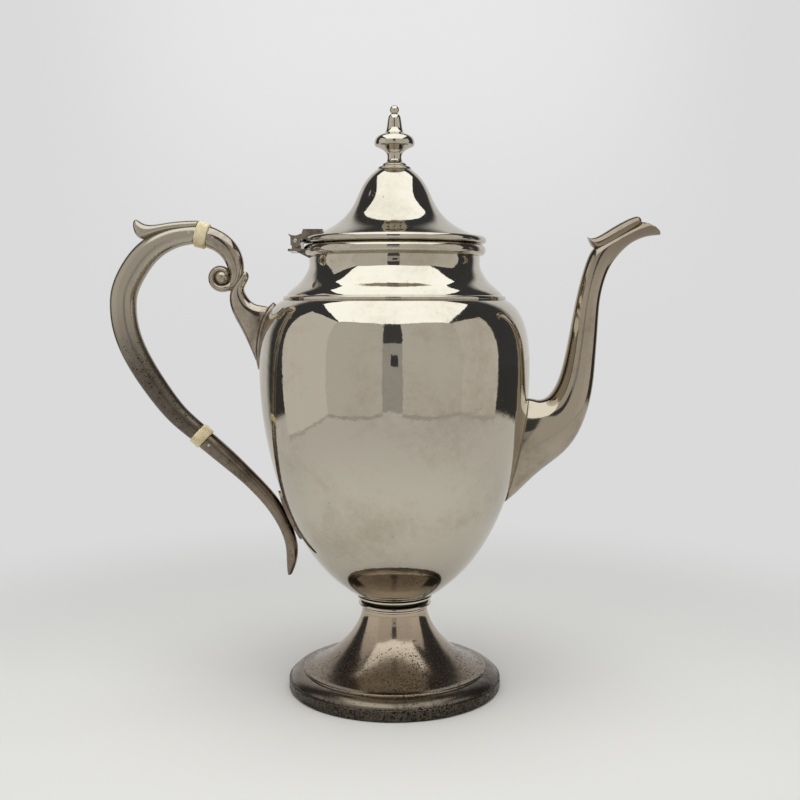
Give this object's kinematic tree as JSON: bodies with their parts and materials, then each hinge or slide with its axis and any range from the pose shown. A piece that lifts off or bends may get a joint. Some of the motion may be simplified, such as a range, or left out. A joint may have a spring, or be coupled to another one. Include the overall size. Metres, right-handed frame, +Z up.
{
  "type": "coffee pot",
  "caption": "Vase-shaped silver coffee pot on a trumpet foot, with a hinged domed lid and finial, a tall curved spout and a scroll handle with insulating rings.",
  "frame": {"origin": "centre of the foot's resting face, on the axis of the body", "axes": "+Z up along the body's axis, +X from the body towards the spout, handle and hinge on -X"},
  "size_m": [0.2384, 0.1174, 0.254],
  "materials": {
    "silver": "polished silver with fine wear and small pits",
    "cast_silver": "polished cast silver, browned in the hollows",
    "worn_silver": "polished silver with brown speckled tarnish",
    "hardware": "plain turned metal",
    "insulator": "ivory-coloured, softly worn"
  },
  "bodies": {
    "pot": {"foot_ring": "worn_silver", "foot_trumpet": "worn_silver", "foot_collar": "silver", "bowl": "silver", "shoulder_bead": "silver", "neck": "silver", "mouth_rim": "silver", "hinge_bracket": "silver", "hinge_pin": "hardware", "handle_grip": "cast_silver", "thumb_leaf": "cast_silver", "upper_insulator": "insulator", "lower_insulator": "insulator", "upper_arm": "cast_silver", "upper_bracket": "cast_silver", "upper_plate": "cast_silver", "lower_socket": "cast_silver", "lower_plate": "cast_silver", "cross_pins": "hardware", "spout": "cast_silver", "spout_leaf": "cast_silver"},
    "lid": {"lid_rim": "silver", "lid_bezel": "silver", "lid_dome": "silver", "finial_base": "silver", "finial": "silver", "finial_stud": "hardware", "finial_washer": "hardware", "finial_nut": "hardware", "hinge_leaf": "silver"}
  },
  "joints": [
    {"name": "lid_hinge", "type": "hinge", "parent": "pot", "child": "lid", "pos_m": [-0.042, 0, 0.1959], "axis": [0, -1, 0], "range_deg": [0, 90]}
  ]
}
